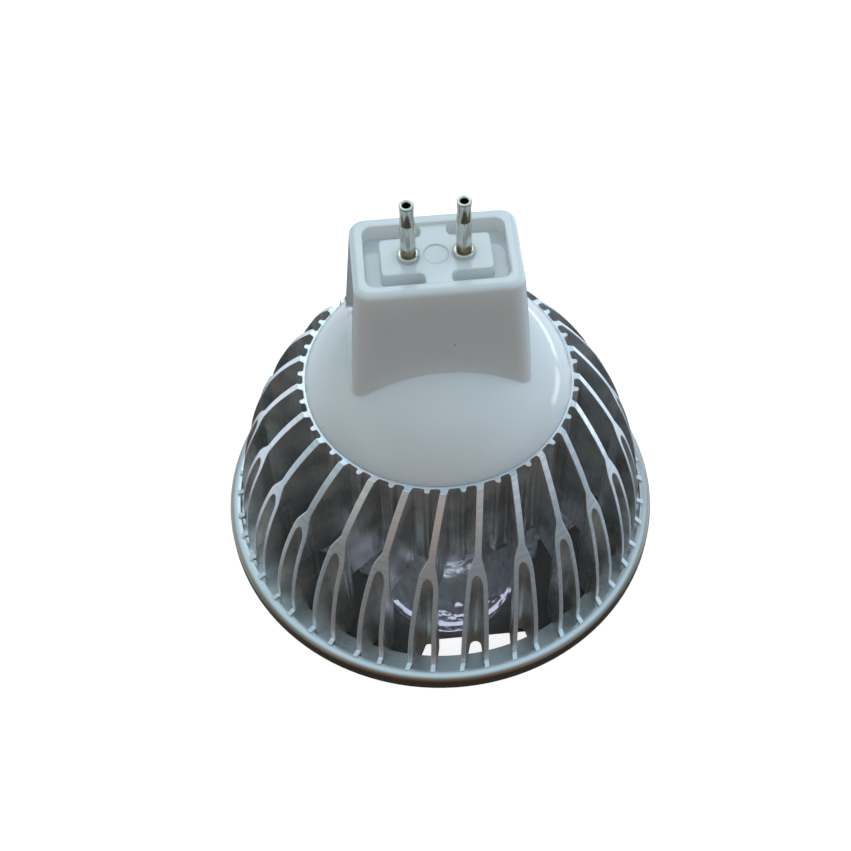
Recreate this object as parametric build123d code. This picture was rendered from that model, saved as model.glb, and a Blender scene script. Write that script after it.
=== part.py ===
from build123d import *
import os
from math import atan2, cos, radians, sin, sqrt, tan

# An LED spotlight bulb with two contact pins, standing face down on its front ring.
# Z runs up the lamp's axis from the face to the pins, X runs from pin to pin, sizes are in millimetres.

# Front ring, turned from aluminium, L-shaped in section
ring_r = 25.0
ring_height = 2.0
ring_lip = 1.3
ring_ledge = 1.0
ring_ledge_width = 2.2
ring_lip_land = 0.3
ring_foot_chamfer = 0.2
ring_fit_gap = 0.4

# Heat sink, an aluminium extrusion with forked fins, turned to a curve outside
hub_r = 14.4
hub_top = 24.5
hub_bottom = 10.6
hub_wall = 2.0
hub_floor = 4.0
hub_land = 0.6
fin_count = 25
fin_start = -92.6
fin_lean = 19.8
stem_width = 0.7
fork_r = 19.15
fork_web = 1.0
fork_inside_round = 0.4
fork_outside_round = 1.5
slot_end_width = 1.25
prong_width = 0.5
prong_spread = 8.5
root_round = 0.25
nub_width = 0.55
nub_reach = 0.55
nub_round = 0.25
heel_reach = 0.75
heel_height = 0.55
heel_edge = 0.2
lens_gap = 0.5

# Base housing, one white plastic moulding: dome, tower and skirt
base_setback = 0.25
base_wall = 1.4
dome_spread = 1.35
dome_rim = 0.2
tower_length = 16.2
tower_width = 10.0
tower_height = 19.5
tower_draft = 4.8
tower_corner = 1.6
rim_round = 0.6
rim_width = 1.2
rim_step = 0.3
moat_width = 1.55
moat_depth = 1.6
moat_end_round = 0.6
web_width = 2.5
gate_r = 1.2
gate_depth = 0.1
top_plate = 3.3
skirt_depth = 4.0
skirt_wall = 1.2
skirt_gap = 0.1
boss_r = 2.5
rail_width = 0.8
rail_hold = 1.0
rail_length = 10.5
rail_stop = 1.0

# Contact pins, nickel-plated brass tube with a collar and a slight waist below the tip
pin_spacing = 5.33
pin_r = 0.75
pin_length = 7.0
pin_waist_r = 0.65
pin_waist_length = 2.4
pin_tip_round = 0.15
pin_bore_r = 0.38
pin_bore_depth = 4.0
pin_collar_r = 1.1
pin_collar_height = 0.45
pin_collar_round = 0.2
pin_shank_r = 0.95
pin_tail_r = 0.5
pin_tail = 1.2
pin_fit_gap = 0.02

# Light engine: thermal pad, metal-core board, emitters and lens array
pad_thickness = 0.3
led_board_edge = 0.6
led_board_thickness = 1.6
wire_hole_r = 2.4
led_count = 4
led_circle_r = 10.7
led_width = 3.5
led_height = 0.8
led_dome_r = 1.4
led_dome_sink = 0.2
lobe_r = 7.8
lens_plate = 1.2
cone_inset = 0.5
cone_back_r = 3.5
cone_bulge = 0.5
cone_clearance = 0.4
well_r = 2.7
well_depth = 3.4
leg_circle_r = 12.9
leg_foot_r = 0.95
leg_head_r = 0.6
leg_peg_r = 0.45
leg_peg = 1.2
leg_peg_gap = 0.05
ear_margin = 0.35
ear_height = 2.2

# Screws
screw_head_r = 2.1
screw_head = 1.5
screw_dome = 0.4
screw_slot = 0.6
screw_slot_depth = 0.7
screw_gap = 0.05
board_screw_r = 1.25
board_screw_length = 5.2
board_screw_circle_r = 6.0
base_screw_r = 1.1
base_screw_length = 9.5
base_screw_offset = 8.2
counterbore_depth = 2.0
counterbore_gap = 0.3
pilot_spare = 1.5

# Driver: upright circuit board and its parts
board_thickness = 1.2
board_length = 17.0
board_headroom = 5.4
board_side_gap = 0.4
board_rail_gap = 0.1
part_gap = 0.02
capacitor_r = 3.0
capacitor_length = 10.0
capacitor_x = 4.0
capacitor_lift = 0.5
capacitor_round = 0.4
inductor_r = 3.5
inductor_height = 4.8
inductor_flange = 0.8
inductor_waist = 0.5
inductor_x = -1.5
inductor_lift = 4.5
chip_length = 4.9
chip_width = 3.9
chip_height = 1.45
chip_lift = 12.5
chip_leads = 4
rectifier_length = 4.7
rectifier_width = 3.9
rectifier_height = 1.5
rectifier_x = -3.2
rectifier_lift = 8.0
rectifier_leads = 2
lead_reach = 0.9
lead_width = 0.45
lead_thickness = 0.3
wire_r = 0.5
wire_gap = 0.02
wire_bend_r = 1.5
input_wire_drop = 1.8
input_wire_slope = 1.8
input_wire_tail = 3.5
output_wire_x = 0.7
output_wire_tail = 3.5
output_wire_reach = 3.6

# Sizes and levels that follow from those above
lip_inner_r = ring_r - ring_lip
ring_edge_round = min(ring_lip - ring_lip_land, ring_height - 2 * ring_foot_chamfer)
ring_bore_r = lip_inner_r - ring_ledge_width
fin_foot_r = lip_inner_r - ring_fit_gap
heel_r = fin_foot_r + heel_reach
fin_pitch = 360 / fin_count
hub_bore_r = hub_r - hub_wall
hub_floor_top = hub_bottom + hub_floor
peg_reach = leg_circle_r + leg_peg_r + leg_peg_gap
led_reach = sqrt((led_circle_r + led_width / 2)**2 + (led_width / 2)**2)
led_board_r = max(peg_reach, led_reach) + led_board_edge
lens_reach = led_circle_r + lobe_r
lens_bore_r = lens_reach + lens_gap
led_board_top = hub_bottom - pad_thickness
led_board_bottom = led_board_top - led_board_thickness
base_r = hub_r - base_setback
dome_r = base_r + dome_spread
dome_foot = hub_top + dome_rim
dome_centre = dome_foot - sqrt(dome_r**2 - base_r**2)
dome_apex = dome_centre + dome_r
tower_top = hub_top + tower_height
plateau_top = tower_top - rim_step
plate_bottom = plateau_top - top_plate
skirt_r = hub_bore_r - skirt_gap
skirt_inner_r = skirt_r - skirt_wall
pin_tip = plateau_top + pin_length
pin_tail_end = plate_bottom - pin_tail
board_top = plate_bottom - board_headroom
board_bottom = board_top - board_length
board_face = board_thickness / 2
led_angles = [360 / led_count * k for k in range(led_count)]
leg_angles = [angle + 180 / led_count for angle in led_angles]
board_screw_angles = (leg_angles[0], leg_angles[0] + 180)
base_screw_sides = (-1, 1)
wire_y = -board_face - wire_gap - wire_r

# How near to a plane or a circle an edge or corner counts as lying on it, and how far a cutter runs past
near = 0.001
overcut = 1.0


def tower_growth(level):
    """How much further out the drafted tower wall stands at a level than at the tower's top."""
    return (tower_top - level) * tan(radians(tower_draft))


def disc(radius, bottom, top):
    """An upright cylinder on the lamp's axis."""
    middle = (bottom + top) / 2
    return Pos(0, 0, middle) * Cylinder(radius, top - bottom)


def block(length, width, bottom, top):
    """An upright box on the lamp's axis."""
    middle = (bottom + top) / 2
    return Pos(0, 0, middle) * Box(length, width, top - bottom)


def on_plane(items, axis, place):
    """Those edges or corners that lie on the plane across an axis at a place along it."""
    return items.filter_by_position(axis, place - near, place + near)


def turned(points):
    """A solid turned about the lamp's axis from an outline of (radius, height) points."""
    return revolve(make_face(Plane.XZ * Polyline(*points, close=True)), Axis.Z)


def at_circle(radius, angle):
    """A place on a circle about the lamp's axis."""
    return Rot(0, 0, angle) * Pos(radius, 0, 0)


def front_ring():
    section = make_face(Plane.XZ * Polyline(
        (ring_bore_r, 0), (ring_r, 0), (ring_r, ring_height), (lip_inner_r, ring_height),
        (lip_inner_r, ring_ledge), (ring_bore_r, ring_ledge), close=True))
    rim = on_plane(section.vertices(), Axis.X, ring_r).sort_by(Axis.Z)
    section = fillet(rim[-1], ring_edge_round)
    rim = on_plane(section.vertices(), Axis.X, ring_r).sort_by(Axis.Z)
    section = chamfer(rim[0], ring_foot_chamfer)
    return revolve(section, Axis.Z)


def along_fin(radius):
    """Distance along a leaning fin, from its root on the hub, at which it reaches a radius."""
    lean = radians(fin_lean)
    return sqrt(radius**2 - (hub_r * sin(lean))**2) - hub_r * cos(lean)


def fin_section():
    """One fin in plan: a straight stem that forks into two slightly spread prongs."""
    spread = radians(prong_spread)
    fork = along_fin(fork_r)
    slot = fork + fork_web
    tip = along_fin(heel_r) + prong_width
    root = hub_wall / 2
    slot_r = slot_end_width / 2
    slot_centre = slot + slot_r

    def half_width(x, end_r):
        return (end_r + (x - slot_centre) * sin(spread)) / cos(spread)

    outside_r = slot_r + prong_width
    side = [(-root, stem_width / 2), (fork, stem_width / 2),
            (slot, half_width(slot, outside_r)), (tip, half_width(tip, outside_r))]
    outline = make_face(Polyline(*side, *[(x, -y) for x, y in reversed(side)], close=True))
    outline = fillet(on_plane(outline.vertices(), Axis.X, fork), fork_inside_round)
    outline = fillet(on_plane(outline.vertices(), Axis.X, slot), fork_outside_round)

    meet = (slot_centre - slot_r * sin(spread), slot_r * cos(spread))
    mouth = (tip + prong_width, half_width(tip + prong_width, slot_r))
    slot_end = ThreePointArc(meet, (slot, 0), (meet[0], -meet[1]))
    slot_sides = Polyline((meet[0], -meet[1]), (mouth[0], -mouth[1]), mouth, meet)
    return Pos(hub_r, 0) * Rot(0, 0, -fin_lean) * (outline - make_face(slot_end + slot_sides))


def nub_section():
    """The short rounded rib on the hub between two fins."""
    root = hub_wall / 2
    rib = Pos(hub_r - root, 0) * Rectangle(root + nub_reach, nub_width, align=(Align.MIN, Align.CENTER))
    tip_round = min(nub_round, nub_width / 2 - near)
    return fillet(on_plane(rib.vertices(), Axis.X, hub_r + nub_reach), tip_round)


def heat_sink():
    fin = fin_section()
    nub = nub_section()
    fins = [Rot(0, 0, fin_start + fin_pitch * k) * fin for k in range(fin_count)]
    nubs = [Rot(0, 0, fin_start + fin_pitch * (k + 0.5)) * nub for k in range(fin_count)]
    section = Rot(0, 0, fin_start) * Circle(hub_r) + fins + nubs
    roots = [v for v in section.vertices() if abs(Vector(v.X, v.Y).length - hub_r) < near]
    section = fillet(roots, root_round)

    bar = extrude(Pos(0, 0, ring_ledge - overcut) * section, hub_top - ring_ledge + 2 * overcut)
    return bar & (turned_bowl() - hub_cuts())


def turned_bowl():
    """What the fins are turned to: a bowl with a heel round its foot that sits on the ring's lip."""
    rim_r = hub_r + hub_land
    fall = fin_foot_r - rim_r
    rise = hub_top - ring_ledge
    curve_r = (fall**2 + rise**2) / (2 * fall)
    curve_half = atan2(rise, curve_r - fall) / 2
    curve_mid = (fin_foot_r - curve_r + curve_r * cos(curve_half), ring_ledge + curve_r * sin(curve_half))
    outside = ThreePointArc((fin_foot_r, ring_ledge), curve_mid, (rim_r, hub_top))
    inside = Polyline((rim_r, hub_top), (0, hub_top), (0, ring_ledge), (fin_foot_r, ring_ledge))
    bowl = revolve(make_face(Plane.XZ * (outside + inside)), Axis.Z)
    heel = turned([
        (lens_bore_r, ring_height), (heel_r, ring_height), (heel_r, ring_height + heel_edge),
        (fin_foot_r, ring_height + heel_height), (lens_bore_r, ring_height + heel_height)])
    return bowl + heel


def hub_cuts():
    """What is bored out of the hub: the lens space, the driver's space, and holes for wires and screws."""
    cuts = [disc(lens_bore_r, ring_ledge, hub_bottom), disc(hub_bore_r, hub_floor_top, hub_top)]
    cuts.append(disc(wire_hole_r, hub_bottom, hub_floor_top))
    depth = board_screw_length - led_board_thickness - pad_thickness + pilot_spare
    pilot = disc(board_screw_r + screw_gap, hub_bottom, min(hub_bottom + depth, hub_floor_top))
    cuts += [at_circle(board_screw_circle_r, angle) * pilot for angle in board_screw_angles]
    passage = disc(base_screw_r + screw_gap, hub_bottom, hub_floor_top)
    counterbore = disc(screw_head_r + counterbore_gap, hub_bottom, hub_bottom + counterbore_depth)
    for side in base_screw_sides:
        cuts += [Pos(0, side * base_screw_offset, 0) * hole for hole in (passage, counterbore)]
    return cuts


def tower(inset, bottom, top):
    """The drafted tower between two levels, with its walls set in by an inset."""
    sections = []
    for level in (bottom, top):
        grow = tower_growth(level) - inset
        corner = max(tower_corner - inset, tower_corner / 4)
        outline = RectangleRounded(tower_length + 2 * grow, tower_width + 2 * grow, corner)
        sections.append(Pos(0, 0, level) * outline)
    return loft(sections, ruled=True)


def dome(radius, foot_r, foot):
    """A round-topped solid: a cylinder under a spherical cap, both about the lamp's axis."""
    meet = dome_centre + sqrt(radius**2 - foot_r**2)
    apex = dome_centre + radius
    cap_half = atan2(foot_r, meet - dome_centre) / 2
    cap_mid = (radius * sin(cap_half), dome_centre + radius * cos(cap_half))
    cap = ThreePointArc((foot_r, meet), cap_mid, (0, apex))
    sides = Polyline((0, apex), (0, foot), (foot_r, foot), (foot_r, meet))
    return revolve(make_face(Plane.XZ * (cap + sides)), Axis.Z)


def base_housing():
    outer_dome = dome(dome_r, base_r, hub_top)
    outer_tower = tower(0, dome_foot, tower_top)
    outer_tower = fillet(on_plane(outer_tower.edges(), Axis.Z, tower_top), rim_round)
    housing = outer_dome + outer_tower
    housing += disc(skirt_r, hub_top - skirt_depth, hub_top + base_wall)
    housing -= dome(dome_r - base_wall, skirt_inner_r, hub_top - skirt_depth)
    housing -= tower(base_wall, dome_foot, plate_bottom)

    boss_reach = dome(dome_r, base_r, hub_floor_top)
    for side in base_screw_sides:
        place = Pos(0, side * base_screw_offset, 0)
        pilot = base_screw_length + counterbore_depth - screw_head - hub_floor + pilot_spare
        boss = place * disc(boss_r, hub_floor_top, dome_apex) & boss_reach
        housing += boss
        housing -= place * disc(base_screw_r + screw_gap, hub_floor_top, hub_floor_top + pilot)

    recess_length = tower_length - 2 * rim_width
    recess_width = tower_width - 2 * rim_width
    recess_corner = tower_corner - rim_width / 2
    recess = RectangleRounded(recess_length, recess_width, recess_corner)
    housing -= extrude(Pos(0, 0, plateau_top) * recess, rim_step)
    plateau_length = recess_length - 2 * moat_width
    plateau_width = recess_width - 2 * moat_width
    plateau = RectangleRounded(plateau_length, plateau_width, recess_corner / 2)
    moats = recess - plateau - Rectangle(web_width, tower_width)
    ends = [v for v in moats.vertices() if abs(abs(v.X) - web_width / 2) < near]
    moats = fillet(ends, moat_end_round)
    housing -= extrude(Pos(0, 0, plateau_top - moat_depth) * moats, moat_depth)
    housing -= disc(gate_r, plateau_top - gate_depth, plateau_top)
    pin_hole = disc(pin_shank_r + pin_fit_gap, plate_bottom, plateau_top)
    for side in (-1, 1):
        housing -= Pos(side * pin_spacing / 2, 0, 0) * pin_hole
    return housing + board_rails()


def board_rails():
    """Grooved rails inside the tower's ends, with a stop above the circuit board's top corners."""
    rail_bottom = plate_bottom - rail_length
    groove = board_thickness + 2 * board_rail_gap
    rail_x = board_width() / 2 - rail_hold
    rail_top = plate_bottom + base_wall / 2
    stop = board_top + board_rail_gap
    room = tower(base_wall / 2, rail_bottom, rail_top)
    deep = 2 * (tower_length / 2 + tower_growth(rail_bottom) - rail_x)
    rail = block(deep, groove + 2 * rail_width, rail_bottom, rail_top)
    rail -= block(deep, groove, rail_bottom, stop)
    rail -= block(deep, groove, stop + rail_stop, plate_bottom)
    return [Pos(side * (rail_x + deep / 2), 0, 0) * rail & room for side in (-1, 1)]


def board_width():
    """Width of the circuit board that fits between the tower's ends at the board's top edge."""
    return tower_length + 2 * (tower_growth(board_top) - base_wall - board_side_gap)


def contact_pin(side):
    collar_top = plateau_top + pin_collar_height
    waist_bottom = pin_tip - pin_waist_length
    bore_bottom = pin_tip - pin_bore_depth
    shank = Polyline(
        (0, pin_tail_end), (pin_tail_r, pin_tail_end), (pin_tail_r, plate_bottom),
        (pin_shank_r, plate_bottom), (pin_shank_r, plateau_top),
        (pin_collar_r, plateau_top), (pin_collar_r, collar_top), (pin_r, collar_top), (pin_r, waist_bottom))
    waist_middle = (pin_waist_r, (waist_bottom + pin_tip) / 2)
    waist = ThreePointArc((pin_r, waist_bottom), waist_middle, (pin_r, pin_tip))
    bore = Polyline(
        (pin_r, pin_tip), (pin_bore_r, pin_tip), (pin_bore_r, bore_bottom), (0, bore_bottom), (0, pin_tail_end))
    pin = revolve(make_face(Plane.XZ * (shank + waist + bore)), Axis.Z)
    pin = fillet(on_plane(pin.edges().filter_by(GeomType.CIRCLE), Axis.Z, pin_tip), pin_tip_round)
    collar = on_plane(pin.edges().filter_by(GeomType.CIRCLE), Axis.Z, collar_top).sort_by(SortBy.RADIUS)[-1]
    pin = fillet(collar, pin_collar_round)
    return Pos(side * pin_spacing / 2, 0, 0) * pin


def light_board(radius, bottom, top, peg_holes):
    """A disc under the hub, with holes for the output wires and the board screws."""
    board = disc(radius, bottom, top) - disc(wire_hole_r, bottom, top)
    for angle in board_screw_angles:
        hole = disc(board_screw_r + screw_gap, bottom, top)
        board -= at_circle(board_screw_circle_r, angle) * hole
    if peg_holes:
        for angle in leg_angles:
            board -= at_circle(leg_circle_r, angle) * disc(leg_peg_r + leg_peg_gap, bottom, top)
    return board


def led_emitter(angle):
    """A square emitter package on the underside of the board, with its round silicone lens."""
    face = led_board_bottom - led_height
    body = block(led_width, led_width, face, led_board_bottom)
    bead = Pos(0, 0, face + led_dome_sink) * Sphere(led_dome_r)
    bead &= disc(led_dome_r, face - led_dome_r, face)
    return at_circle(led_circle_r, angle) * (body + bead)


def lens_array():
    """One clear moulding: a clover-shaped front plate, a collimator over each emitter, and legs."""
    front = ring_ledge
    plate_back = front + lens_plate
    cone_back = led_board_bottom - cone_clearance
    cone_front_r = lobe_r - cone_inset
    clover = Circle(led_circle_r / 2)
    for angle in led_angles:
        clover += at_circle(led_circle_r, angle) * Circle(lobe_r)
    lens = extrude(Pos(0, 0, front) * clover, lens_plate)
    ear_root = led_circle_r / 2
    ear = SlotCenterToCenter(leg_circle_r - ear_root, 2 * (leg_foot_r + ear_margin))
    ear = extrude(Pos(0, 0, front) * ear, ear_height)
    ear_top = front + ear_height

    middle = ((cone_front_r + cone_back_r) / 2 + cone_bulge, (plate_back + cone_back) / 2)
    flank = ThreePointArc((cone_front_r, plate_back), middle, (cone_back_r, cone_back))
    core = Polyline(
        (cone_back_r, cone_back), (0, cone_back), (0, front), (cone_front_r, front),
        (cone_front_r, plate_back))
    cone = revolve(make_face(Plane.XZ * (flank + core)), Axis.Z)
    well = disc(well_r, cone_back - well_depth, cone_back)
    leg = turned([
        (0, ear_top), (leg_foot_r, ear_top), (leg_head_r, led_board_bottom), (leg_peg_r, led_board_bottom),
        (leg_peg_r, led_board_bottom + leg_peg), (0, led_board_bottom + leg_peg)])
    for angle in led_angles:
        lens += at_circle(led_circle_r, angle) * cone
    for angle in led_angles:
        lens -= at_circle(led_circle_r, angle) * well
    for angle in leg_angles:
        lens += at_circle((leg_circle_r + ear_root) / 2, angle) * ear
        lens += at_circle(leg_circle_r, angle) * leg
    return lens


def screw(radius, length, seat):
    """A slotted pan-head screw that points up, with its head under a seat."""
    under = seat - screw_head
    head = disc(screw_head_r, under, seat)
    head = fillet(on_plane(head.edges(), Axis.Z, under), screw_dome)
    slot = block(2 * screw_head_r, screw_slot, under, under + screw_slot_depth)
    return head + disc(radius, seat, seat + length) - slot


def board_screws():
    one = screw(board_screw_r, board_screw_length, led_board_bottom)
    return [at_circle(board_screw_circle_r, angle) * one for angle in board_screw_angles]


def base_screws():
    one = screw(base_screw_r, base_screw_length, hub_bottom + counterbore_depth)
    return [Pos(0, side * base_screw_offset, 0) * one for side in base_screw_sides]


def driver_board():
    return block(board_width(), board_thickness, board_bottom, board_top)


def smoothing_capacitor():
    bottom = board_bottom + capacitor_lift
    can = disc(capacitor_r, bottom, bottom + capacitor_length)
    can = fillet(can.edges().filter_by(GeomType.CIRCLE), capacitor_round)
    return Pos(capacitor_x, -board_face - part_gap - capacitor_r, 0) * can


def inductor():
    waist_r = inductor_r - inductor_waist
    top = inductor_height - inductor_flange
    drum = turned([
        (0, 0), (inductor_r, 0), (inductor_r, inductor_flange), (waist_r, inductor_flange),
        (waist_r, top), (inductor_r, top), (inductor_r, inductor_height), (0, inductor_height)])
    return Pos(inductor_x, board_face, board_bottom + inductor_lift) * Rot(-90, 0, 0) * drum


def package(length, width, height, leads):
    """A moulded component on the board's front face, with a row of leads along each long side."""
    against = (Align.CENTER, Align.MAX, Align.CENTER)
    body = Box(length, height - lead_thickness, width, align=against)
    part = Pos(0, -lead_thickness, 0) * body
    lead = Box(lead_width, height / 2, width + 2 * lead_reach, align=against)
    pitch = length / leads
    for k in range(leads):
        part += Pos((pitch - length) / 2 + pitch * k, 0, 0) * lead
    return part


def rectifier():
    part = package(rectifier_length, rectifier_width, rectifier_height, rectifier_leads)
    return Pos(rectifier_x, -board_face, board_bottom + rectifier_lift) * part


def driver_chip():
    part = package(chip_length, chip_width, chip_height, chip_leads)
    return Pos(0, board_face, board_bottom + chip_lift) * Rot(0, 0, 180) * part


def wire(points):
    """An insulated wire along straight runs joined by round bends."""
    path = FilletPolyline(*points, radius=wire_bend_r)
    return sweep(Plane(path @ 0, z_dir=path % 0) * Circle(wire_r), path=path)


def input_wire(side):
    """From a pin's tail down to the front face of the circuit board."""
    x = side * pin_spacing / 2
    bend = pin_tail_end - input_wire_drop
    return wire([(x, 0, pin_tail_end), (x, 0, bend), (x, wire_y, bend - input_wire_slope),
                 (x, wire_y, bend - input_wire_slope - input_wire_tail)])


def output_wire(side):
    """From the circuit board down through the hub's floor to the underside of the light board."""
    x = side * output_wire_x
    low = led_board_bottom - wire_gap - wire_r
    return wire([(x, wire_y, board_bottom + output_wire_tail), (x, wire_y, low),
                 (side * (output_wire_x + output_wire_reach), wire_y, low)])


def export(name, shape):
    """Write one named piece, or a group of separate like solids, to its own file."""
    solids = shape if isinstance(shape, list) else [shape]
    solids = [solid for item in solids for solid in item.solids()]
    export_step(solids[0] if len(solids) == 1 else Compound(children=solids), f"parts/{name}.step")


os.makedirs("parts", exist_ok=True)
export("front_ring", front_ring())
export("heat_sink", heat_sink())
export("base_housing", base_housing())
export("contact_pin_left", contact_pin(-1))
export("contact_pin_right", contact_pin(1))
export("thermal_pad", light_board(led_board_r, led_board_top, hub_bottom, False))
export("led_board", light_board(led_board_r, led_board_bottom, led_board_top, True))
for number, angle in enumerate(led_angles, 1):
    export(f"led_emitter_{number}", led_emitter(angle))
export("lens_array", lens_array())
export("board_screws", board_screws())
export("base_screws", base_screws())
export("driver_board", driver_board())
export("smoothing_capacitor", smoothing_capacitor())
export("inductor", inductor())
export("rectifier", rectifier())
export("driver_chip", driver_chip())
export("input_wire_left", input_wire(-1))
export("input_wire_right", input_wire(1))
export("output_wire_positive", output_wire(1))
export("output_wire_negative", output_wire(-1))
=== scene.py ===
import math
import bpy
from mathutils import Matrix, Vector


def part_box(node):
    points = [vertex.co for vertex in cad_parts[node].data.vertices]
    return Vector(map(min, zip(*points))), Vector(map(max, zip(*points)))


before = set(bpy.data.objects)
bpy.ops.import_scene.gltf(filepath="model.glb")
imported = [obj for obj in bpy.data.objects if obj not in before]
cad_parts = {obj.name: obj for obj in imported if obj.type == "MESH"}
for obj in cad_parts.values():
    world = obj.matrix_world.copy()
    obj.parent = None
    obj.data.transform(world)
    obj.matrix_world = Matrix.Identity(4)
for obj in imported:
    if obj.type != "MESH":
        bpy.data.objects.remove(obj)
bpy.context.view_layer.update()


# Heat sink: an aluminium extrusion of 25 leaning, forked fins round a thick hub, turned on a lathe
# to the bowl shape afterwards. It is left bare, so the fins' sides keep the die's long streaks and the
# turned faces keep the tool's fine rings. The cut edges are burnished, with a painted highlight on them.

millimetre = 0.001


def feed(tree, socket, value):
    """Sets an input socket to a number, a vector or a colour, or links another socket to it."""
    if isinstance(value, bpy.types.NodeSocket):
        tree.links.new(value, socket)
    elif socket.type == "RGBA":
        socket.default_value = (*value, 1.0)
    else:
        socket.default_value = value


def math_node(tree, operation, first, second=0.0):
    """The result of a Math node on two sockets or numbers."""
    node = tree.nodes.new("ShaderNodeMath")
    node.operation = operation
    feed(tree, node.inputs[0], first)
    feed(tree, node.inputs[1], second)
    return node.outputs[0]


def ramp(tree, value, low, high):
    """Goes smoothly from 0 at low to 1 at high, which may be the smaller of the two."""
    node = tree.nodes.new("ShaderNodeMapRange")
    node.interpolation_type = "SMOOTHSTEP"
    feed(tree, node.inputs["Value"], value)
    feed(tree, node.inputs["From Min"], low)
    feed(tree, node.inputs["From Max"], high)
    return node.outputs["Result"]


def mix_values(tree, mask, off, on):
    """A value that goes from off to on with a mask."""
    node = tree.nodes.new("ShaderNodeMapRange")
    feed(tree, node.inputs["Value"], mask)
    feed(tree, node.inputs["To Min"], off)
    feed(tree, node.inputs["To Max"], on)
    return node.outputs["Result"]


def mix_colours(tree, mask, off, on):
    """A colour that goes from off to on with a mask."""
    node = tree.nodes.new("ShaderNodeMix")
    node.data_type = "RGBA"
    feed(tree, node.inputs["Factor"], mask)
    for slot, colour in (("A", off), ("B", on)):
        feed(tree, next(s for s in node.inputs if s.name == slot and s.type == "RGBA"), colour)
    return next(s for s in node.outputs if s.type == "RGBA")


def noise(tree, first, second, third):
    """Noise read at three values, so that it can be stretched along one of them."""
    join = tree.nodes.new("ShaderNodeCombineXYZ")
    for slot, value in enumerate((first, second, third)):
        feed(tree, join.inputs[slot], value)
    texture = tree.nodes.new("ShaderNodeTexNoise")
    texture.inputs["Scale"].default_value = 1.0
    texture.inputs["Detail"].default_value = 3.0
    tree.links.new(join.outputs[0], texture.inputs["Vector"])
    return texture.outputs["Fac"]


def place_on_lamp(tree):
    """X, Y and Z of the lamp's frame in millimetres."""
    where = tree.nodes.new("ShaderNodeTexCoord")
    scale = tree.nodes.new("ShaderNodeVectorMath")
    scale.operation = "SCALE"
    scale.inputs["Scale"].default_value = 1 / millimetre
    tree.links.new(where.outputs["Object"], scale.inputs[0])
    split = tree.nodes.new("ShaderNodeSeparateXYZ")
    tree.links.new(scale.outputs[0], split.inputs[0])
    return split.outputs


def span(tree, first, second):
    """The distance that two offsets at right angles make together."""
    squares = [math_node(tree, "MULTIPLY", way, way) for way in (first, second)]
    return math_node(tree, "SQRT", math_node(tree, "ADD", *squares))


def round_axis(tree):
    """Distance in millimetres from the lamp's axis, angle round it in radians, and height."""
    x, y, z = place_on_lamp(tree)
    return span(tree, x, y), math_node(tree, "ARCTAN2", y, x), z


def facing(tree):
    """X, Y and Z of the surface's own direction."""
    split = tree.nodes.new("ShaderNodeSeparateXYZ")
    tree.links.new(tree.nodes.new("ShaderNodeTexCoord").outputs["Normal"], split.inputs[0])
    return split.outputs


def new_group(name, inputs, outputs):
    """A shader node group with number inputs, given as name: value, and outputs as name: kind."""
    group = bpy.data.node_groups.new(name, "ShaderNodeTree")
    for label, value in inputs.items():
        socket = group.interface.new_socket(label, in_out="INPUT", socket_type="NodeSocketFloat")
        socket.default_value = value
    for label, kind in outputs.items():
        group.interface.new_socket(label, in_out="OUTPUT", socket_type=kind)
    return group, group.nodes.new("NodeGroupInput").outputs, group.nodes.new("NodeGroupOutput").inputs


def lathe_rings_group():
    """Fine uneven rings round the lamp's axis, as a turning tool leaves them, at a pitch in millimetres."""
    chatter_per_radian = 0.6
    group, given, result = new_group("lathe_rings", {"Pitch": 0.15}, {"Height": "NodeSocketFloat"})
    radius, angle, z = round_axis(group)
    steps = math_node(group, "DIVIDE", math_node(group, "SUBTRACT", z, radius), given["Pitch"])
    chatter = math_node(group, "MULTIPLY", angle, chatter_per_radian)
    group.links.new(noise(group, steps, chatter, 0.0), result["Height"])
    return group


def mottle_group():
    """Soft blotches of a size in millimetres, for handling marks and uneven finish."""
    blotch_edge = (0.3, 0.7)
    group, given, result = new_group("mottle", {"Size": 3.0}, {"Value": "NodeSocketFloat"})
    x, y, z = (math_node(group, "DIVIDE", way, given["Size"]) for way in place_on_lamp(group))
    group.links.new(ramp(group, noise(group, x, y, z), *blotch_edge), result["Value"])
    return group


def bright_edges_group():
    """Edges rubbed round at a radius in metres: where they are, and the softened normal."""
    flat_to_edge = (0.005, 0.08)
    group, given, result = new_group(
        "bright_edges", {"Radius": 0.0001}, {"Mask": "NodeSocketFloat", "Normal": "NodeSocketVector"})
    rounded = group.nodes.new("ShaderNodeBevel")
    rounded.samples = 4
    group.links.new(given["Radius"], rounded.inputs["Radius"])
    turn = group.nodes.new("ShaderNodeVectorMath")
    turn.operation = "DOT_PRODUCT"
    group.links.new(rounded.outputs["Normal"], turn.inputs[0])
    group.links.new(group.nodes.new("ShaderNodeNewGeometry").outputs["Normal"], turn.inputs[1])
    away = math_node(group, "SUBTRACT", 1.0, turn.outputs["Value"])
    group.links.new(ramp(group, away, *flat_to_edge), result["Mask"])
    group.links.new(rounded.outputs["Normal"], result["Normal"])
    return group


def use_group(tree, group, **values):
    """The outputs of a placed node group, whose inputs are set by name."""
    node = tree.nodes.new("ShaderNodeGroup")
    node.node_tree = group
    for name, value in values.items():
        feed(tree, node.inputs[name.title()], value)
    return node.outputs


def new_material(name, **inputs):
    """A material, its node tree and its Principled shader, whose plain values are set by input name."""
    material = bpy.data.materials.new(name)
    material.use_nodes = True
    shader = material.node_tree.nodes["Principled BSDF"]
    for label, value in inputs.items():
        shader.inputs[label.replace("_", " ").title().replace("Ior", "IOR")].default_value = value
    return material, material.node_tree, shader


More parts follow.
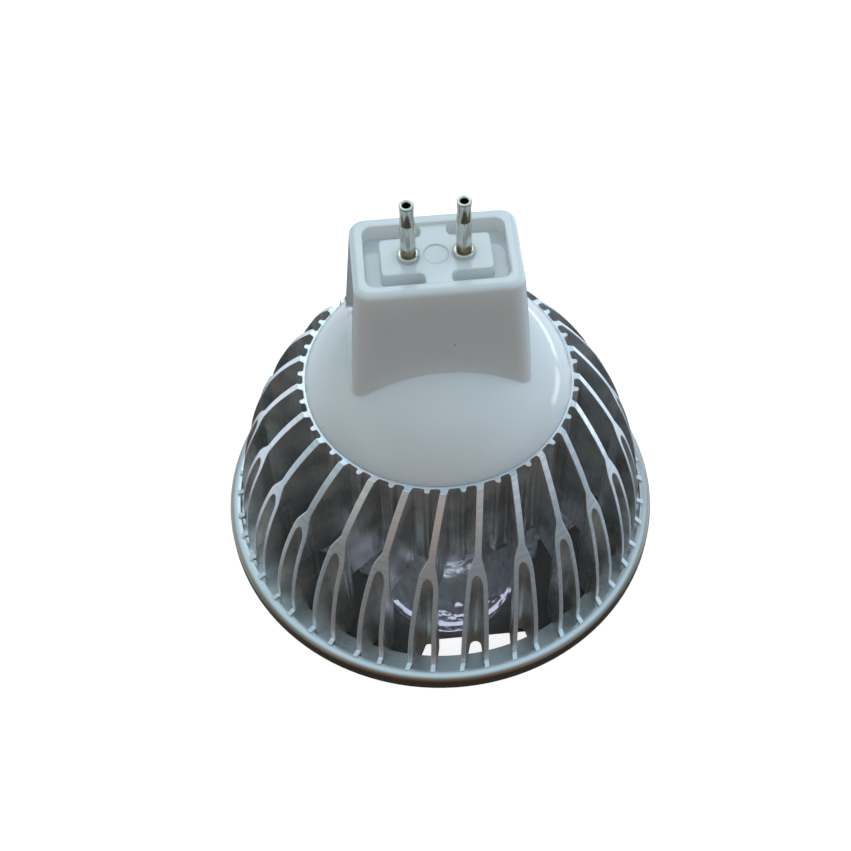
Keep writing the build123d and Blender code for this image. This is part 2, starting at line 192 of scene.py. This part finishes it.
def add_bump(tree, shader, height, depth, normal=None):
    """Feeds a height into the shader's normal, at a depth in millimetres."""
    bump = tree.nodes.new("ShaderNodeBump")
    bump.inputs["Distance"].default_value = depth * millimetre
    tree.links.new(height, bump.inputs["Height"])
    if normal is not None:
        tree.links.new(normal, bump.inputs["Normal"])
    tree.links.new(bump.outputs["Normal"], shader.inputs["Normal"])


def dress(material, *names):
    """Gives a material to CAD nodes."""
    for name in names:
        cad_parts[name].material_slots[0].material = material


lathe_rings = lathe_rings_group()
mottle = mottle_group()
bright_edges = bright_edges_group()

turned_slope = (0.012, 0.045)
fin_middle_r = 18.0
streak_pitch = 0.9
streak_change_per_mm = 0.05
fin_ring_pitch = 0.20
fin_blotch_size = 4.5
fin_edge_r = 0.15
fin_mark_depth = 0.02
hues_per_radian = 5.0
hue_start = 3.7
hue_edge = (0.35, 0.65)
groove_edge = (0.38, 0.58)
side_tones = ((0.46, 0.455, 0.45), (0.78, 0.77, 0.75))
crest_tones = ((0.80, 0.92, 1.0), (0.90, 0.88, 0.90))
groove_tones = ((0.62, 0.73, 0.80), (0.72, 0.70, 0.71))
fin_edge_burnish_and_highlight_tone = (0.94, 0.96, 0.97)
side_metallic, face_metallic = 0.76, 0.54
side_roughness = (0.22, 0.34)
face_roughness = (0.18, 0.28)

bare_metal, tree, shader = new_material("bare_extruded_aluminium")
radius, angle, z = round_axis(tree)
turned_face = ramp(tree, facing(tree)["Z"], *turned_slope)
fin_streaks = noise(tree, math_node(tree, "MULTIPLY", angle, fin_middle_r / streak_pitch),
                    math_node(tree, "DIVIDE", radius, streak_pitch),
                    math_node(tree, "MULTIPLY", z, streak_change_per_mm))
tool_rings = use_group(tree, lathe_rings, pitch=fin_ring_pitch)["Height"]
fin_blotches = use_group(tree, mottle, size=fin_blotch_size)["Value"]
edges = use_group(tree, bright_edges, radius=fin_edge_r * millimetre)
fin_side = mix_colours(tree, fin_blotches, *side_tones)
hue_noise = noise(tree, math_node(tree, "MULTIPLY", angle, hues_per_radian), hue_start, 0.0)
fin_hue = ramp(tree, hue_noise, *hue_edge)
crest = mix_colours(tree, fin_hue, *crest_tones)
groove = mix_colours(tree, fin_hue, *groove_tones)
fin_face = mix_colours(tree, ramp(tree, tool_rings, *groove_edge), groove, crest)
cut_metal = mix_colours(tree, turned_face, fin_side, fin_face)
# Cut edges: burnished metal with a painted highlight, lighter than the faces beside them.
tree.links.new(mix_colours(tree, edges["Mask"], cut_metal, fin_edge_burnish_and_highlight_tone), shader.inputs["Base Color"])
tree.links.new(mix_values(tree, turned_face, side_metallic, face_metallic), shader.inputs["Metallic"])
side_gloss = mix_values(tree, fin_streaks, *side_roughness)
face_gloss = mix_values(tree, tool_rings, *face_roughness)
tree.links.new(mix_values(tree, turned_face, side_gloss, face_gloss), shader.inputs["Roughness"])
fin_marks = mix_values(tree, turned_face, fin_streaks, tool_rings)
add_bump(tree, shader, fin_marks, fin_mark_depth, edges["Normal"])
dress(bare_metal, "heat_sink")


# Thermal pad: a soft grey sheet of silicone filled with mineral powder, die-cut to the light board's
# shape. The board's screws press it between the board and the hub.

grit_size = 0.15
grit_depth = 0.02
pad_tones = ((0.30, 0.31, 0.33), (0.42, 0.43, 0.45))

soft_pad, tree, shader = new_material("filled_silicone", roughness=0.75)
grit = use_group(tree, mottle, size=grit_size)["Value"]
tree.links.new(mix_colours(tree, grit, *pad_tones), shader.inputs["Base Color"])
add_bump(tree, shader, grit, grit_depth)
dress(soft_pad, "thermal_pad")


# Light board: a disc of aluminium core board. White solder mask covers the face with the emitters,
# and its punched rim and back show bare metal.

masked_slope = (-0.3, -0.7)
mask_blotch_size = 1.2
mask_depth = 0.01
mask_tones = ((0.80, 0.80, 0.77), (0.86, 0.86, 0.84))
mask_roughness = (0.35, 0.45)
bare_core = (0.70, 0.71, 0.72)

core_board, tree, shader = new_material("white_masked_core_board")
masked_face = ramp(tree, facing(tree)["Z"], *masked_slope)
mask_blotches = use_group(tree, mottle, size=mask_blotch_size)["Value"]
white_mask = mix_colours(tree, mask_blotches, *mask_tones)
tree.links.new(mix_colours(tree, masked_face, bare_core, white_mask), shader.inputs["Base Color"])
tree.links.new(math_node(tree, "SUBTRACT", 1.0, masked_face), shader.inputs["Metallic"])
tree.links.new(mix_values(tree, mask_blotches, *mask_roughness), shader.inputs["Roughness"])
add_bump(tree, shader, mask_blotches, mask_depth)
dress(core_board, "led_board")


# Emitters: white ceramic packages soldered to the light board, each with a bead of clear silicone
# over yellow phosphor.

emitter_names = [f"led_emitter_{number}" for number in range(1, 5)]
package_height = 0.8
bead_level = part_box(emitter_names[0])[1][2] / millimetre - package_height
bead_blur = 0.03
grain_size = 0.12
grain_depth = 0.006
phosphor_tones = ((0.80, 0.52, 0.06), (0.90, 0.66, 0.12))
ceramic_tones = ((0.78, 0.78, 0.75), (0.84, 0.84, 0.82))
ceramic_roughness, bead_roughness = 0.55, 0.18

emitter, tree, shader = new_material("phosphor_and_ceramic", coat_weight=0.6, coat_roughness=0.05)
bead = ramp(tree, place_on_lamp(tree)["Z"], bead_level + bead_blur, bead_level - bead_blur)
grains = use_group(tree, mottle, size=grain_size)["Value"]
phosphor = mix_colours(tree, grains, *phosphor_tones)
ceramic = mix_colours(tree, grains, *ceramic_tones)
tree.links.new(mix_colours(tree, bead, ceramic, phosphor), shader.inputs["Base Color"])
tree.links.new(mix_values(tree, bead, ceramic_roughness, bead_roughness), shader.inputs["Roughness"])
add_bump(tree, shader, grains, grain_depth)
dress(emitter, *emitter_names)


# Screws: zinc-plated steel with slotted pan heads. Two hold the light board to the hub from below,
# and two hold the base housing to it from inside.

thread_pitch = 0.45
thread_depth = 0.06
bloom_size = 1.0
zinc_tones = ((0.62, 0.63, 0.66), (0.70, 0.69, 0.64))
zinc_roughness = (0.22, 0.36)

zinc, tree, shader = new_material("zinc_plate", metallic=1.0)
winding = math_node(tree, "MULTIPLY", place_on_lamp(tree)["Z"], 2 * math.pi / thread_pitch)
thread = math_node(tree, "SINE", winding)
bloom = use_group(tree, mottle, size=bloom_size)["Value"]
tree.links.new(mix_colours(tree, bloom, *zinc_tones), shader.inputs["Base Color"])
tree.links.new(mix_values(tree, bloom, *zinc_roughness), shader.inputs["Roughness"])
add_bump(tree, shader, thread, thread_depth)
dress(zinc, "board_screws", "base_screws")


# Lens array: one clear acrylic moulding with a collimator over each emitter and four legs that peg
# it to the light board. Small moulded facets break up what shows through it, and a little dust
# dulls its polish.

facet_size = 1.1
facet_depth = 0.30
dust_size = 0.8
stress_size = 3.0
stress_tints = ((0.86, 0.95, 1.0), (0.98, 0.93, 1.0))
dust_roughness = (0.02, 0.10)

clear_acrylic, tree, shader = new_material("clear_acrylic", transmission_weight=0.65, ior=1.49)
dust = use_group(tree, mottle, size=dust_size)["Value"]
stress = use_group(tree, mottle, size=stress_size)["Value"]
tree.links.new(mix_colours(tree, stress, *stress_tints), shader.inputs["Base Color"])
tree.links.new(mix_values(tree, dust, *dust_roughness), shader.inputs["Roughness"])
facets = tree.nodes.new("ShaderNodeTexVoronoi")
facets.inputs["Scale"].default_value = 1.0 / (facet_size * millimetre)
tree.links.new(tree.nodes.new("ShaderNodeTexCoord").outputs["Object"], facets.inputs["Vector"])
add_bump(tree, shader, facets.outputs["Distance"], facet_depth)
dress(clear_acrylic, "lens_array")


# Driver board: a strip of green glass-epoxy laminate that slides into rails in the base. Its sawn
# edges show the straw-coloured core, and its tracks stand slightly proud under the mask.

flat_slope = (0.3, 0.7)
track_pitch = 1.3
wander_per_mm = 0.25
track_edge = (0.2, 0.24)
track_depth = 0.035
board_greens = ((0.018, 0.115, 0.042), (0.045, 0.215, 0.085))
board_core = (0.46, 0.40, 0.22)
board_roughness = (0.42, 0.32)


def to_and_fro(tree, steps):
    """Goes from 0 up to 0.5 and back in each whole step."""
    return math_node(tree, "PINGPONG", steps, 0.5)


laminate, tree, shader = new_material("green_laminate", coat_weight=0.3, coat_roughness=0.2)
x, y, z = place_on_lamp(tree)
flat_face = ramp(tree, math_node(tree, "ABSOLUTE", facing(tree)["Y"]), *flat_slope)
track_wander = noise(tree, math_node(tree, "MULTIPLY", z, wander_per_mm), 0.0, 0.0)
track_place = math_node(tree, "ADD", math_node(tree, "DIVIDE", x, track_pitch), track_wander)
tracks = ramp(tree, to_and_fro(tree, track_place), *track_edge)
masked = mix_colours(tree, tracks, *board_greens)
tree.links.new(mix_colours(tree, flat_face, board_core, masked), shader.inputs["Base Color"])
tree.links.new(mix_values(tree, tracks, *board_roughness), shader.inputs["Roughness"])
add_bump(tree, shader, tracks, track_depth)
dress(laminate, "driver_board")


# Smoothing capacitor: an aluminium can in a dark blue shrink sleeve, with a paler stripe down one
# side and the bare can showing at its ends.

end_slope = (0.80, 0.86)
stripe_slope = (0.80, 0.84)
wrinkle_size = 0.5
wrinkle_depth = 0.012
sleeve_blues = ((0.012, 0.020, 0.075), (0.018, 0.028, 0.095))
stripe_blue = (0.36, 0.42, 0.55)
can_tone = (0.72, 0.73, 0.74)
sleeve_roughness = (0.24, 0.36)

sleeve, tree, shader = new_material("capacitor_sleeve")
bare_end = ramp(tree, math_node(tree, "ABSOLUTE", facing(tree)["Z"]), *end_slope)
stripe = ramp(tree, facing(tree)["X"], *stripe_slope)
wrinkles = use_group(tree, mottle, size=wrinkle_size)["Value"]
striped = mix_colours(tree, stripe, mix_colours(tree, wrinkles, *sleeve_blues), stripe_blue)
tree.links.new(mix_colours(tree, bare_end, striped, can_tone), shader.inputs["Base Color"])
tree.links.new(bare_end, shader.inputs["Metallic"])
tree.links.new(mix_values(tree, wrinkles, *sleeve_roughness), shader.inputs["Roughness"])
add_bump(tree, shader, wrinkles, wrinkle_depth)
dress(sleeve, "smoothing_capacitor")


# Inductor: a dark ferrite drum on the back of the driver board, with enamelled copper wire wound in
# its waist.

flange = 0.8
drum_front, drum_back = (corner[1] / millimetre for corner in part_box("inductor"))
winding_from = drum_front + flange
winding_to = drum_back - flange
winding_blur = 0.01
turn_pitch = 0.22
turn_depth = 0.05
sinter_size = 0.2
ferrite_tones = ((0.035, 0.033, 0.032), (0.060, 0.056, 0.054))
copper_tones = ((0.30, 0.09, 0.03), (0.72, 0.30, 0.12))
ferrite_roughness, copper_roughness = 0.6, 0.28

drum, tree, shader = new_material("ferrite_and_copper")
y = place_on_lamp(tree)["Y"]
past_start = ramp(tree, y, winding_from - winding_blur, winding_from + winding_blur)
before_end = ramp(tree, y, winding_to + winding_blur, winding_to - winding_blur)
wound = math_node(tree, "MULTIPLY", past_start, before_end)
turns = to_and_fro(tree, math_node(tree, "DIVIDE", y, turn_pitch))
sinter = use_group(tree, mottle, size=sinter_size)["Value"]
ferrite = mix_colours(tree, sinter, *ferrite_tones)
copper = mix_colours(tree, turns, *copper_tones)
tree.links.new(mix_colours(tree, wound, ferrite, copper), shader.inputs["Base Color"])
tree.links.new(wound, shader.inputs["Metallic"])
tree.links.new(mix_values(tree, wound, ferrite_roughness, copper_roughness), shader.inputs["Roughness"])
add_bump(tree, shader, mix_values(tree, wound, sinter, turns), turn_depth)
dress(drum, "inductor")


# Rectifier and driver chip: black moulded epoxy bodies with tinned leads, soldered to the two faces
# of the driver board.

lead_reach = 0.9
lead_blur = 0.02
epoxy_grain = 0.15
epoxy_depth = 0.01
epoxy_tones = ((0.012, 0.012, 0.013), (0.022, 0.022, 0.024))
tin_tone = (0.68, 0.68, 0.66)
epoxy_roughness, tin_roughness = 0.55, 0.30


def moulded_package(name, node):
    """Epoxy in the middle of a node's height and tinned metal at its two rows of leads."""
    low, high = (corner[2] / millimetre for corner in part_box(node))
    body_half = (high - low) / 2 - lead_reach
    material, tree, shader = new_material(name)
    above_middle = math_node(tree, "SUBTRACT", place_on_lamp(tree)["Z"], (low + high) / 2)
    from_middle = math_node(tree, "ABSOLUTE", above_middle)
    lead = ramp(tree, from_middle, body_half, body_half + lead_blur)
    grain = use_group(tree, mottle, size=epoxy_grain)["Value"]
    epoxy = mix_colours(tree, grain, *epoxy_tones)
    tree.links.new(mix_colours(tree, lead, epoxy, tin_tone), shader.inputs["Base Color"])
    tree.links.new(lead, shader.inputs["Metallic"])
    tree.links.new(mix_values(tree, lead, epoxy_roughness, tin_roughness), shader.inputs["Roughness"])
    add_bump(tree, shader, grain, epoxy_depth)
    dress(material, node)


moulded_package("rectifier_epoxy", "rectifier")
moulded_package("chip_epoxy", "driver_chip")


# Wires: stranded copper in coloured insulation. Two white ones run from the pins to the driver
# board, and a red and a black one from it through the hub's floor to the light board.

scuff_size = 0.6
scuff_depth = 0.015
insulation_roughness = (0.34, 0.5)
white_tones = ((0.70, 0.70, 0.66), (0.78, 0.78, 0.75))
red_tones = ((0.42, 0.018, 0.014), (0.52, 0.026, 0.020))
black_tones = ((0.010, 0.010, 0.011), (0.022, 0.022, 0.023))


def insulation(name, tones, *wires):
    """Soft extruded insulation, a little uneven in tone and gloss."""
    material, tree, shader = new_material(name)
    scuffs = use_group(tree, mottle, size=scuff_size)["Value"]
    tree.links.new(mix_colours(tree, scuffs, *tones), shader.inputs["Base Color"])
    tree.links.new(mix_values(tree, scuffs, *insulation_roughness), shader.inputs["Roughness"])
    add_bump(tree, shader, scuffs, scuff_depth)
    dress(material, *wires)


insulation("white_insulation", white_tones, "input_wire_left", "input_wire_right")
insulation("red_insulation", red_tones, "output_wire_positive")
insulation("black_insulation", black_tones, "output_wire_negative")


# Base housing: one glossy white moulding with a dome, a drafted tower and a skirt inside the hub.
# The polished mould leaves a faint ripple, and one dark fleck sits in the tower's front.

ripple_size = 5.0
ripple_depth = 0.004
housing_edge_r = 0.22
light_travel = 2.2
fleck_x, fleck_z, fleck_r = 1.25, 36.6, 0.11
fleck_before_y = -4.0
housing_whites = ((0.80, 0.80, 0.79), (0.81, 0.81, 0.80))
fleck_tone = (0.22, 0.19, 0.16)
housing_roughness = (0.09, 0.12)

white_plastic, tree, shader = new_material(
    "white_moulded_plastic", subsurface_weight=0.6, subsurface_radius=(1.0, 0.9, 0.8),
    subsurface_scale=light_travel * millimetre)
ripple = use_group(tree, mottle, size=ripple_size)["Value"]
edges = use_group(tree, bright_edges, radius=housing_edge_r * millimetre)
x, y, z = place_on_lamp(tree)
from_fleck = span(tree, math_node(tree, "SUBTRACT", x, fleck_x), math_node(tree, "SUBTRACT", z, fleck_z))
on_front = math_node(tree, "LESS_THAN", y, fleck_before_y)
fleck = math_node(tree, "MULTIPLY", on_front, ramp(tree, from_fleck, fleck_r, fleck_r / 2))
moulded_white = mix_colours(tree, ripple, *housing_whites)
tree.links.new(mix_colours(tree, fleck, moulded_white, fleck_tone), shader.inputs["Base Color"])
tree.links.new(mix_values(tree, ripple, *housing_roughness), shader.inputs["Roughness"])
add_bump(tree, shader, ripple, ripple_depth, edges["Normal"])
dress(white_plastic, "base_housing")


# Contact pins: nickel-plated brass tube, each with a collar that stops it on the housing's top. The
# plating is bright, with faint draw marks, and has a painted brown reflection a little way above the
# collar.

marks_per_mm = 12.0
mark_change_per_mm = 0.6
mark_depth = 0.006
tarnish_and_reflection_size = 0.9
pin_edge_r = 0.05
collar_top = 44.15
collar_blur = 0.02
painted_reflection_top = 45.5
painted_reflection_fade = 0.7
painted_reflection_ragged = 0.5
plate_tones = ((0.74, 0.73, 0.68), (0.64, 0.61, 0.54))
painted_reflection_tones = ((0.12, 0.085, 0.05), (0.42, 0.33, 0.20))
pin_roughness = (0.10, 0.22)

nickel, tree, shader = new_material("nickel_plate", metallic=1.0)
x, y, z = place_on_lamp(tree)
draw_marks = noise(tree, math_node(tree, "MULTIPLY", x, marks_per_mm),
                   math_node(tree, "MULTIPLY", y, marks_per_mm),
                   math_node(tree, "MULTIPLY", z, mark_change_per_mm))
tarnish_and_reflection_mottle = use_group(tree, mottle, size=tarnish_and_reflection_size)["Value"]
edges = use_group(tree, bright_edges, radius=pin_edge_r * millimetre)
plate = mix_colours(tree, tarnish_and_reflection_mottle, *plate_tones)
# Painted reflection: a dark brown band a little way above the collar, with a ragged top edge.
ragged_z = math_node(tree, "ADD", z, mix_values(tree, draw_marks, -painted_reflection_ragged, painted_reflection_ragged))
below_end = ramp(tree, ragged_z, painted_reflection_top, painted_reflection_top - painted_reflection_fade)
above_collar = ramp(tree, z, collar_top - collar_blur, collar_top + collar_blur)
painted_reflection_mask = math_node(tree, "MULTIPLY", below_end, above_collar)
painted_reflection_colour = mix_colours(tree, tarnish_and_reflection_mottle, *painted_reflection_tones)
tree.links.new(mix_colours(tree, painted_reflection_mask, plate, painted_reflection_colour), shader.inputs["Base Color"])
tree.links.new(mix_values(tree, draw_marks, *pin_roughness), shader.inputs["Roughness"])
add_bump(tree, shader, draw_marks, mark_depth, edges["Normal"])
dress(nickel, "contact_pin_left", "contact_pin_right")


# Front ring: turned from aluminium, an L in section. Its ledge carries the fins' feet and its lip
# stands round them. The lip's top is bright from the tool, its edges carry a painted highlight, and the
# wall outside it has a painted dark reflection.

ring_pitch = 0.12
ring_mark_depth = 0.012
handling_size = 2.0
ring_edge_r = 0.08
lip_slope = (0.72, 0.97)
painted_wall_reflection_tone = (0.33, 0.31, 0.27)
lip_tones = ((0.74, 0.76, 0.78), (0.80, 0.81, 0.82))
ring_edge_burnish_and_highlight_tone = (0.90, 0.91, 0.92)
turned_roughness = (0.22, 0.34)
handled_roughness = 0.36

ring_metal, tree, shader = new_material("turned_ring_aluminium", metallic=1.0)
tool_rings = use_group(tree, lathe_rings, pitch=ring_pitch)["Height"]
handling = use_group(tree, mottle, size=handling_size)["Value"]
edges = use_group(tree, bright_edges, radius=ring_edge_r * millimetre)
# Painted reflection: the outer wall below the lip's top is darkened.
lip_top = ramp(tree, facing(tree)["Z"], *lip_slope)
ring_tone = mix_colours(tree, lip_top, painted_wall_reflection_tone, mix_colours(tree, handling, *lip_tones))
# Cut edges: burnished metal with a painted highlight, lighter than the faces beside them.
tree.links.new(mix_colours(tree, edges["Mask"], ring_tone, ring_edge_burnish_and_highlight_tone), shader.inputs["Base Color"])
turned_gloss = mix_values(tree, tool_rings, *turned_roughness)
tree.links.new(mix_values(tree, handling, turned_gloss, handled_roughness), shader.inputs["Roughness"])
add_bump(tree, shader, tool_rings, ring_mark_depth, edges["Normal"])
dress(ring_metal, "front_ring")


# Floor: a wide pale sheet of paper that the lamp stands on. Its own glow keeps it evenly pale, and
# the lamp's metal neither mirrors it nor is lit by it.

floor_size = 60.0
floor_greys = ((0.54, 0.54, 0.54), (0.56, 0.56, 0.56))
floor_glow = (1.0, 0.99, 0.98, 1.0)


def paper(name, tones, **finish):
    """Paper or card with a faint fibre in its tone."""
    fibre_size = 0.4
    material, tree, shader = new_material(name, **finish)
    fibre = use_group(tree, mottle, size=fibre_size)["Value"]
    tree.links.new(mix_colours(tree, fibre, *tones), shader.inputs["Base Color"])
    return material


bpy.ops.object.select_all(action="DESELECT")
bpy.ops.mesh.primitive_plane_add(size=floor_size, location=(0.0, 0.0, 0.0))
floor = bpy.context.active_object
floor.name = "pale_floor"
floor.data.materials.append(paper(
    "pale_sheet", floor_greys, roughness=0.9, emission_color=floor_glow, emission_strength=0.84))
floor.visible_glossy = False
floor.visible_diffuse = False


# Shadow sheet and glowing card: a round of dark paper under the lamp is a painted shadow, and keeps
# light from coming up inside it. It is cut back at the front, where the floor shows between the fins.
# On it lies part of a small glowing disc, no lamp, that lights the front collimator as a painted highlight.

sheet_r = 21.3 * millimetre
sheet_lift = 0.05 * millimetre
sheet_corners = 128
cut_left, cut_right = -3.6 * millimetre, 9.0 * millimetre
cut_edge = -18.9 * millimetre
painted_shadow_tones = ((0.13, 0.115, 0.105), (0.16, 0.14, 0.125))
card_r = 7.4 * millimetre
card_centre = (0.0, -10.7 * millimetre, 2 * sheet_lift)
card_corners = 64
card_back = -13.4 * millimetre
card_tones = ((0.78, 0.78, 0.78), (0.82, 0.82, 0.82))
card_glow = (0.78, 0.82, 1.0, 1.0)


def paper_disc(name, radius, corners, centre):
    """A flat disc, left as the active object."""
    bpy.ops.object.select_all(action="DESELECT")
    bpy.ops.mesh.primitive_circle_add(vertices=corners, radius=radius, fill_type="NGON", location=centre)
    disc = bpy.context.active_object
    disc.name = name
    return disc


# Painted shadow: a dark sheet under the lamp, where only shade falls.
sheet = paper_disc("painted_shadow_sheet", sheet_r, sheet_corners, (0.0, 0.0, sheet_lift))
for corner in sheet.data.vertices:
    if cut_left < corner.co.x < cut_right and corner.co.y < cut_edge:
        corner.co.y = cut_edge
sheet.data.materials.append(paper("painted_shadow_sheet", painted_shadow_tones, roughness=0.7))

# Painted highlight: a glowing card, seen through the front collimator.
card = paper_disc("glowing_card", card_r, card_corners, card_centre)
bpy.ops.object.transform_apply(location=True)
bpy.ops.object.mode_set(mode="EDIT")
bpy.ops.mesh.select_all(action="SELECT")
bpy.ops.mesh.bisect(plane_co=(0.0, card_back, 0.0), plane_no=(0.0, 1.0, 0.0), clear_outer=True)
bpy.ops.object.mode_set(mode="OBJECT")
card.data.materials.append(paper(
    "glowing_card_paper", card_tones, roughness=0.9, emission_color=card_glow, emission_strength=1.3))


# Light tent: soft walls round the lamp, bluish above, behind and at the right, and dim and warm in
# front. Two round flags dim it at the back, a low glare comes from behind, and a narrow bright strip
# with a gap in it hangs at the right. The camera sees a plain white backdrop.

front_wall = (0.355, 0.165, 0.055)
back_wall = (0.44, 0.55, 0.65)
right_wall = (0.60, 0.71, 0.84)
left_wall = (0.55, 0.60, 0.56)
ceiling = (0.55, 0.75, 0.86)
ground = (0.070, 0.060, 0.052)
backdrop = (1.0, 1.0, 1.0)
glare_tones = ((0.95, 1.06, 1.18), (0.95, 1.08, 1.24))
back_edge = (-0.35, 0.55)
right_edge = (0.25, 0.85)
left_edge = (-0.55, -0.85)
ceiling_edge = (0.15, 0.85)
glare_edge = (-0.8, -0.5)
ground_edge = (-0.08, 0.06)
strip_normal = (0.153, 0.232, 0.961)
strip_edge = (0.05, 0.03)
strip_left_end = (0.45, 0.55)
strip_front_end = (0.02, 0.10)
strip_gap_at = 0.855
strip_gap_edge = (0.02, 0.035)
strip_light = (3.4, 3.7, 3.9)


def along(tree, way, direction):
    """How far a way points along a direction."""
    product = tree.nodes.new("ShaderNodeVectorMath")
    product.operation = "DOT_PRODUCT"
    feed(tree, product.inputs[0], way)
    feed(tree, product.inputs[1], direction)
    return product.outputs["Value"]


def hang_flag(tree, way, tent, direction, outer_angle, inner_angle, tone):
    """The tent with a dim round patch in one direction, soft between two angles in degrees."""
    outer, inner = (math.cos(math.radians(angle)) for angle in (outer_angle, inner_angle))
    patch = ramp(tree, along(tree, way, Vector(direction).normalized()), outer, inner)
    return mix_colours(tree, patch, tent, tone)


world = bpy.data.worlds.new("light_tent")
bpy.context.scene.world = world
world.use_nodes = True
tree = world.node_tree
sight = tree.nodes.new("ShaderNodeTexCoord").outputs["Generated"]
rightward = along(tree, sight, (1.0, 0.0, 0.0))
backward = along(tree, sight, (0.0, 1.0, 0.0))
upward = along(tree, sight, (0.0, 0.0, 1.0))
behind = ramp(tree, backward, *back_edge)
at_right = ramp(tree, rightward, *right_edge)
walls = mix_colours(tree, behind, front_wall, back_wall)
walls = mix_colours(tree, at_right, walls, right_wall)
walls = mix_colours(tree, ramp(tree, rightward, *left_edge), walls, left_wall)
tent = mix_colours(tree, ramp(tree, upward, *ceiling_edge), walls, ceiling)
tent = hang_flag(tree, sight, tent, direction=(0.198, 0.491, 0.848), outer_angle=17.0, inner_angle=8.0,
                 tone=(0.20, 0.23, 0.27))
tent = hang_flag(tree, sight, tent, direction=(0.50, 0.55, 0.67), outer_angle=22.0, inner_angle=10.0,
                 tone=(0.38, 0.44, 0.48))
glare = mix_colours(tree, at_right, *glare_tones)
low_behind = math_node(tree, "MULTIPLY", behind, ramp(tree, upward, *glare_edge))
below = mix_colours(tree, low_behind, ground, glare)
surround = mix_colours(tree, ramp(tree, upward, *ground_edge), below, tent)
off_strip = math_node(tree, "ABSOLUTE", along(tree, sight, strip_normal))
off_gap = math_node(tree, "ABSOLUTE", math_node(tree, "SUBTRACT", rightward, strip_gap_at))
strip = ramp(tree, off_strip, *strip_edge)
for place, bounds in ((rightward, strip_left_end), (backward, strip_front_end), (off_gap, strip_gap_edge)):
    strip = math_node(tree, "MULTIPLY", strip, ramp(tree, place, *bounds))
surround = mix_colours(tree, strip, surround, strip_light)
seen = tree.nodes.new("ShaderNodeLightPath").outputs["Is Camera Ray"]
background = tree.nodes["Background"]
tree.links.new(mix_colours(tree, seen, surround, backdrop), background.inputs["Color"])
background.inputs["Strength"].default_value = 1.0


# Softboxes: one high behind the lamp, which glossy faces mirror, and a wide window at the right,
# which lights the lamp without showing in its gloss.

lamp_middle = Vector((0.0, 0.0, 0.02))


def softbox(name, position, size, colour, power, mirrored):
    """A rectangular area light aimed at the lamp, which glossy faces may mirror or not."""
    light = bpy.data.lights.new(name, "AREA")
    light.shape = "RECTANGLE"
    light.size, light.size_y = size
    light.color = colour
    light.energy = power
    box = bpy.data.objects.new(name, light)
    bpy.context.scene.collection.objects.link(box)
    box.location = position
    box.rotation_euler = (lamp_middle - Vector(position)).to_track_quat("-Z", "Y").to_euler()
    box.visible_glossy = mirrored


softbox("back_softbox", position=(-0.021, 0.362, 0.480), size=(0.25, 0.065), colour=(0.86, 0.96, 1.0),
        power=0.15, mirrored=True)
softbox("right_window", position=(0.55, 0.22, 0.22), size=(0.40, 0.45), colour=(0.74, 0.89, 1.0),
        power=1.2, mirrored=False)


# Camera: it stands where the photograph's did, close in front of the lamp and above it, and is
# rolled a little.

camera_place = Vector((-7.507, -90.946, 147.052)) * millimetre
camera_aim = Vector((-1.712, -3.355, 20.0)) * millimetre
camera_roll = math.radians(-1.68)
focal_length = 60.83
film_width = 36.0
nearest_seen = 0.01

camera = bpy.data.objects.new("camera", bpy.data.cameras.new("camera"))
bpy.context.scene.collection.objects.link(camera)
camera.data.lens = focal_length
camera.data.sensor_width = film_width
camera.data.clip_start = nearest_seen
look = (camera_aim - camera_place).to_track_quat("-Z", "Y").to_matrix().to_4x4()
camera.matrix_world = Matrix.Translation(camera_place) @ look @ Matrix.Rotation(camera_roll, 4, "Z")
bpy.context.scene.camera = camera
bpy.context.scene.view_settings.view_transform = "Standard"
